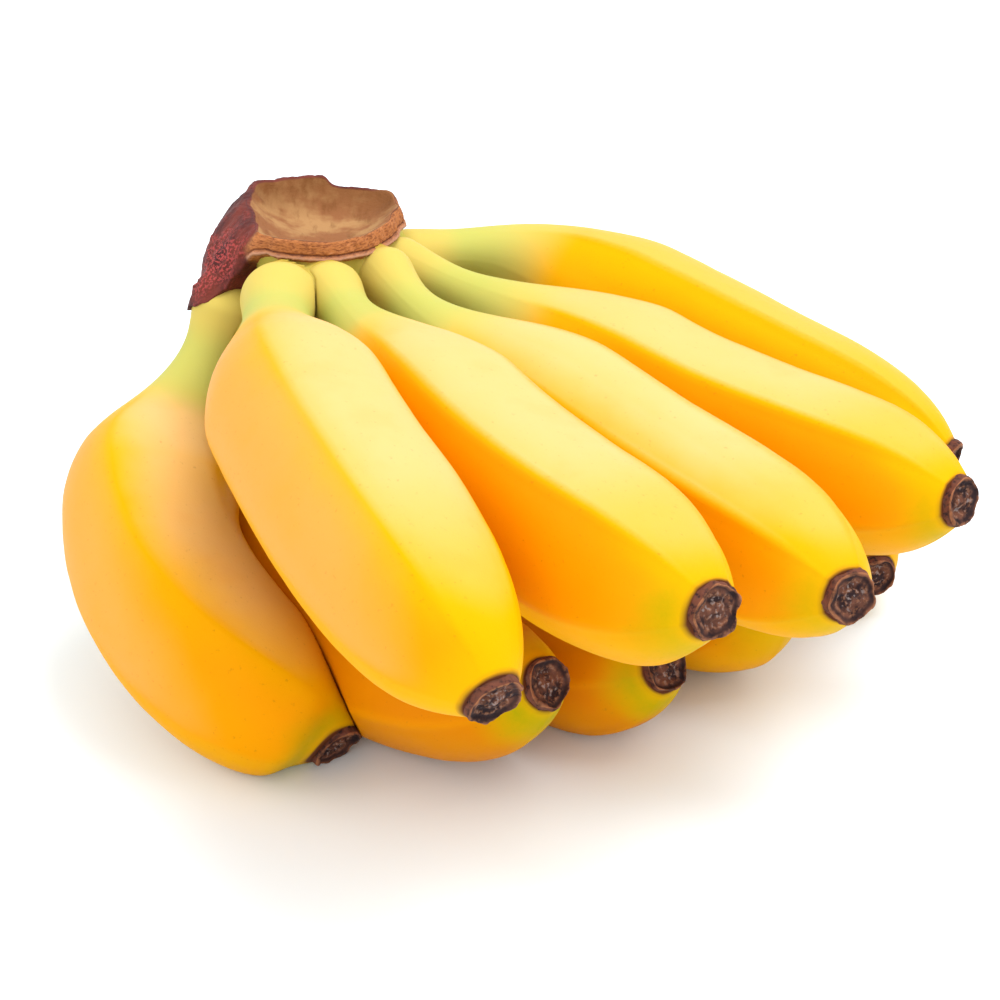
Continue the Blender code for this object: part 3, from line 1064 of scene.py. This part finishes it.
    def cap_zones(self, angle: Array, profile: Array, skirt: Array, points: Array) -> dict[str, Array]:
        """Numbers from 0 to 1 that say where the rim, the skin end, its raw patch and the edges lie.

        layers is the rim's own relief in millimetres: a groove under its top edge and a fold at its hem.
        """
        step = np.arange(self.cap_rings)[:, None] / self.cap_rings + 0.0 * angle[None, :]
        ripple = noise(points, 2.6, 21, 3)
        outer = rise(step, 0.468 + 0.004 * ripple, 0.02)
        degrees = np.degrees(angle)
        turned = (degrees[None, :] + 2.0 * ripple) % 360.0
        banded = np.where(turned < 140.0, 1.0 - rise(turned, 26.0, 16.0), rise(turned, 223.0, 4.0))
        level = profile[..., 1] / np.maximum(skirt, 2.0)[None, :]
        wrap = rise(np.cos(np.radians(degrees - 155.0)), -0.33, 0.25)
        over = rise(step, 0.365, 0.03) * wrap[None, :]
        hood = np.clip(np.maximum(outer * (1.0 - banded), over * (1.0 - banded)), 0.0, 1.0)
        patch = bell((degrees + 156.0 + 180.0) % 360.0 - 180.0, 0.0, 17.0)
        raw = patch[None, :] * bell(level, 0.52, 0.33) + 0.22 * ripple
        groove = bell(level, 0.66, 0.05)
        hem = bell(level, 0.84, 0.09) * outer
        back = rise(points[..., 1], self.plan.axis[1] + 1.0, 11.0)
        return {
            "band": outer * banded,
            "hood": hood,
            "raw": smooth(raw / 0.6) * hood,
            "edge": np.clip(bell(step, 0.462, 0.014) + 0.8 * groove * outer * banded, 0.0, 1.0),
            "hem": hem * banded,
            # painted shade on the back slope of the hollow, near the rim
            "scorch": back * smooth((0.44 - step) / 0.05) * rise(step, 0.12, 0.2),
            "layers": 0.38 * hem - 0.32 * groove,
        }

    def flank(self, material: Material) -> Piece:
        """The living flesh between the stalks.

        From one point inside, each ray goes out to where a rounded block and the root balls of the stalks,
        melted together (minus the logarithm of summed exponentials), end.
        """
        origin = np.array([*self.plan.axis, self.plan.rim_height - self.heart])
        turn = -2.0 * math.pi * np.arange(self.flank_sides) / self.flank_sides
        flat = np.stack([np.cos(turn), np.sin(turn)], -1)
        brim = self.plan.axis + 0.90 * self.outline(turn)[:, None] * flat * self.plan.half
        brim = np.column_stack([brim, self.plan.plane(brim[:, 0], brim[:, 1]) - 2.6]) - origin
        heading = np.arctan2(brim[:, 1], brim[:, 0])
        top = np.arctan2(brim[:, 2], np.hypot(brim[:, 0], brim[:, 1]))
        down = np.linspace(0.0, 1.0, self.flank_rings)[:, None]
        rise = top[None, :] + (math.radians(-89.0) - top[None, :]) * down
        ray = np.stack(
            [np.cos(rise) * np.cos(heading), np.cos(rise) * np.sin(heading), np.sin(rise)], axis=-1
        ).reshape(-1, 3)
        steps = np.linspace(self.nearest, self.furthest, 45)
        before = self.flesh(origin + steps[0] * ray)
        reach = np.full(len(ray), steps[-1])
        found = np.zeros(len(ray), dtype=bool)
        for near, far in zip(steps[:-1], steps[1:]):
            after = self.flesh(origin + far * ray)
            crossing = ~found & (after > 0.0)
            share = np.clip(-before / np.maximum(after - before, 1e-6), 0.0, 1.0)
            reach = np.where(crossing, near + share * (far - near), reach)
            found |= crossing
            before = after
        points = (origin + reach[:, None] * ray).reshape(self.flank_rings, self.flank_sides, 3)
        normal = grid_normals(points)
        points = points + normal * (0.10 * noise(points, 3.2, 30, 3))[..., None]
        inner = origin + (points[0] - origin) * np.array([0.7, 0.7, 0.0])
        points = np.concatenate([inner[None], points])
        drop = self.plan.plane(points[..., 0], points[..., 1]) - points[..., 2]
        values = {"seam": smooth((4.6 - drop) / 1.6)}
        piece = tube_mesh("crown_flank", points + self.shift, values)
        piece.data.materials.append(material)
        return piece

    def flesh(self, points: Array) -> Array:
        """Signed measure of the melted block and root balls, in millimetres, negative inside."""
        plan = self.plan
        x = (points[:, 0] - plan.axis[0]) / (0.5 * plan.width)
        y = (points[:, 1] - plan.axis[1]) / (0.5 * plan.depth)
        drop = plan.plane(points[:, 0], points[:, 1]) - points[:, 2]
        level = np.clip((drop - 7.0) / (plan.height - 7.0), 0.0, None)
        wide = self.outline(np.arctan2(y, x))
        block = (np.sqrt((x * x + y * y) / wide**2 + level**4 + 1e-9) - 1.0) * 14.0
        melt = np.exp(-np.clip(block, -20.0, 20.0) / 1.3)
        for finger in self.fingers:
            t = np.linspace(0.03, 0.11, 7)
            centres = finger.at(t)
            radii = finger.radii(t) * np.linspace(0.92, 0.76, len(t))
            gap = np.min([np.linalg.norm(points - c, axis=1) - r for c, r in zip(centres, radii)], axis=0)
            melt = melt + np.exp(-np.clip(gap, -20.0, 20.0) / self.softness)
        return -np.log(melt)

    def build(self, crust: Material, flesh: Material) -> None:
        """Make both pieces and tie them to the frame."""
        pieces = [self.cap(crust), self.flank(flesh)]
        for piece in pieces:
            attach(piece, "root")
            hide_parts("crown")
            LOG.info("%s: %d faces", piece.name, len(piece.data.polygons))


# ---- studio ----


@dataclass(frozen=True)
class Softbox:
    """A square area light aimed at the hand."""

    name: str
    place: tuple[float, float, float]
    size: float
    power: float
    tint: Colour = (1.0, 1.0, 1.0)

    def make(self, target: Array) -> None:
        """Add the light, turned to the target."""
        lamp = bpy.data.lights.new(self.name, "AREA")
        lamp.shape = "SQUARE"
        lamp.size = self.size
        lamp.energy = self.power
        lamp.color = self.tint
        box = bpy.data.objects.new(self.name, lamp)
        box.location = self.place
        box.rotation_euler = aim(np.array(self.place), target)
        bpy.context.scene.collection.objects.link(box)


def aim(place: Array, target: Array) -> tuple[float, float, float]:
    """Euler angles that point an object's -Z axis from a place at a target, with +Y up."""
    way = target - place
    flat = math.hypot(way[0], way[1])
    return (math.atan2(flat, -way[2]), 0.0, math.atan2(-way[0], way[1]) if flat > 1e-9 else 0.0)


@dataclass(frozen=True)
class Studio:
    """A white table, soft light from above right, a bright room and the camera."""

    target: tuple[float, float, float] = (0.0, 0.0, 37.0)
    distance: float = 690.0
    elevation: float = 30.0
    width_at_target: float = 178.0
    sensor: float = 36.0
    room: float = 1.08
    boxes: tuple[Softbox, ...] = (
        Softbox("key", (0.36, 0.06, 0.88), 0.75, 9.1, (1.0, 0.99, 0.98)),
        Softbox("front", (-0.25, -0.95, 0.55), 0.8, 3.6),
        Softbox("left", (-0.95, 0.05, 0.45), 0.7, 2.5),
    )

    def build(self, shift: Array) -> None:
        """Lay the table, light it and set up the camera."""
        centre = (np.array(self.target) + shift) * MM
        for box in self.boxes:
            box.make(centre)
        self.table()
        world = bpy.data.worlds.new("room")
        world.use_nodes = True
        backdrop = world.node_tree.nodes["Background"]
        backdrop.inputs["Color"].default_value = (1.0, 1.0, 1.0, 1.0)
        backdrop.inputs["Strength"].default_value = self.room
        scene = bpy.context.scene
        scene.world = world
        scene.view_settings.view_transform = "Standard"
        tilt = math.radians(self.elevation)
        back = np.array([0.0, -math.cos(tilt), math.sin(tilt)])
        place = centre + self.distance * MM * back
        camera = bpy.data.cameras.new("camera")
        camera.sensor_width = self.sensor
        camera.lens = self.sensor * self.distance / self.width_at_target
        camera.clip_start = 0.01
        camera.clip_end = 20.0
        holder = bpy.data.objects.new("camera", camera)
        holder.location = place
        holder.rotation_euler = aim(place, centre)
        scene.collection.objects.link(holder)
        scene.camera = holder

    def table(self) -> None:
        """A wide flat table top just under the fruit."""
        side = 4.0
        corners = [(-side, -side, 0.0), (side, -side, 0.0), (side, side, 0.0), (-side, side, 0.0)]
        mesh = bpy.data.meshes.new("table_top")
        mesh.from_pydata([(x, y, -0.0002) for x, y, _ in corners], [], [(0, 1, 2, 3)])
        mesh.materials.append(TableFinish().make())
        top = bpy.data.objects.new("table_top", mesh)
        bpy.context.scene.collection.objects.link(top)
        top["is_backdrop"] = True


def main() -> None:
    """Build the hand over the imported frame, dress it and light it."""
    logging.basicConfig(level=logging.INFO, format="%(name)s: %(message)s")
    cad_low, cad_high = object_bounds()
    plan = CrownPlan()
    habit = Habit()
    fingers = [Finger(growth, habit, plan) for growth in HAND]
    along, around = np.linspace(0.01, 1.0, 120), np.linspace(0.0, 2.0 * math.pi, 90)
    skins = np.vstack([finger.surface(along, around)[1].reshape(-1, 3) for finger in fingers])
    frame_middle = 0.5 * (np.array(cad_low) + np.array(cad_high)) / MM
    shift = frame_middle - 0.5 * (skins.min(axis=0) + skins.max(axis=0))
    shift[2] = 0.0
    LOG.info("shift to the frame: %s", np.round(shift, 2).tolist())
    peel = PeelFinish().make()
    blossom = BlossomFinish().make()
    for finger in fingers:
        others = [other for other in fingers if other is not finger]
        Banana(finger, others, shift).build(peel, blossom)
    Crown(plan, fingers, shift).build(CrownFinish().make(), FlankFinish().make())
    Studio().build(shift)


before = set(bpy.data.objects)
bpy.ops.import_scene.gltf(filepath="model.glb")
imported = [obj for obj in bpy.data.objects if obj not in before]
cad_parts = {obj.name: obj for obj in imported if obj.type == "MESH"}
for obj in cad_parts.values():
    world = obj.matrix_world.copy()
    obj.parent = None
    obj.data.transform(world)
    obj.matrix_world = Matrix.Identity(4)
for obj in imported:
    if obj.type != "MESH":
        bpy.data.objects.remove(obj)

if __name__ == "__main__":
    main()
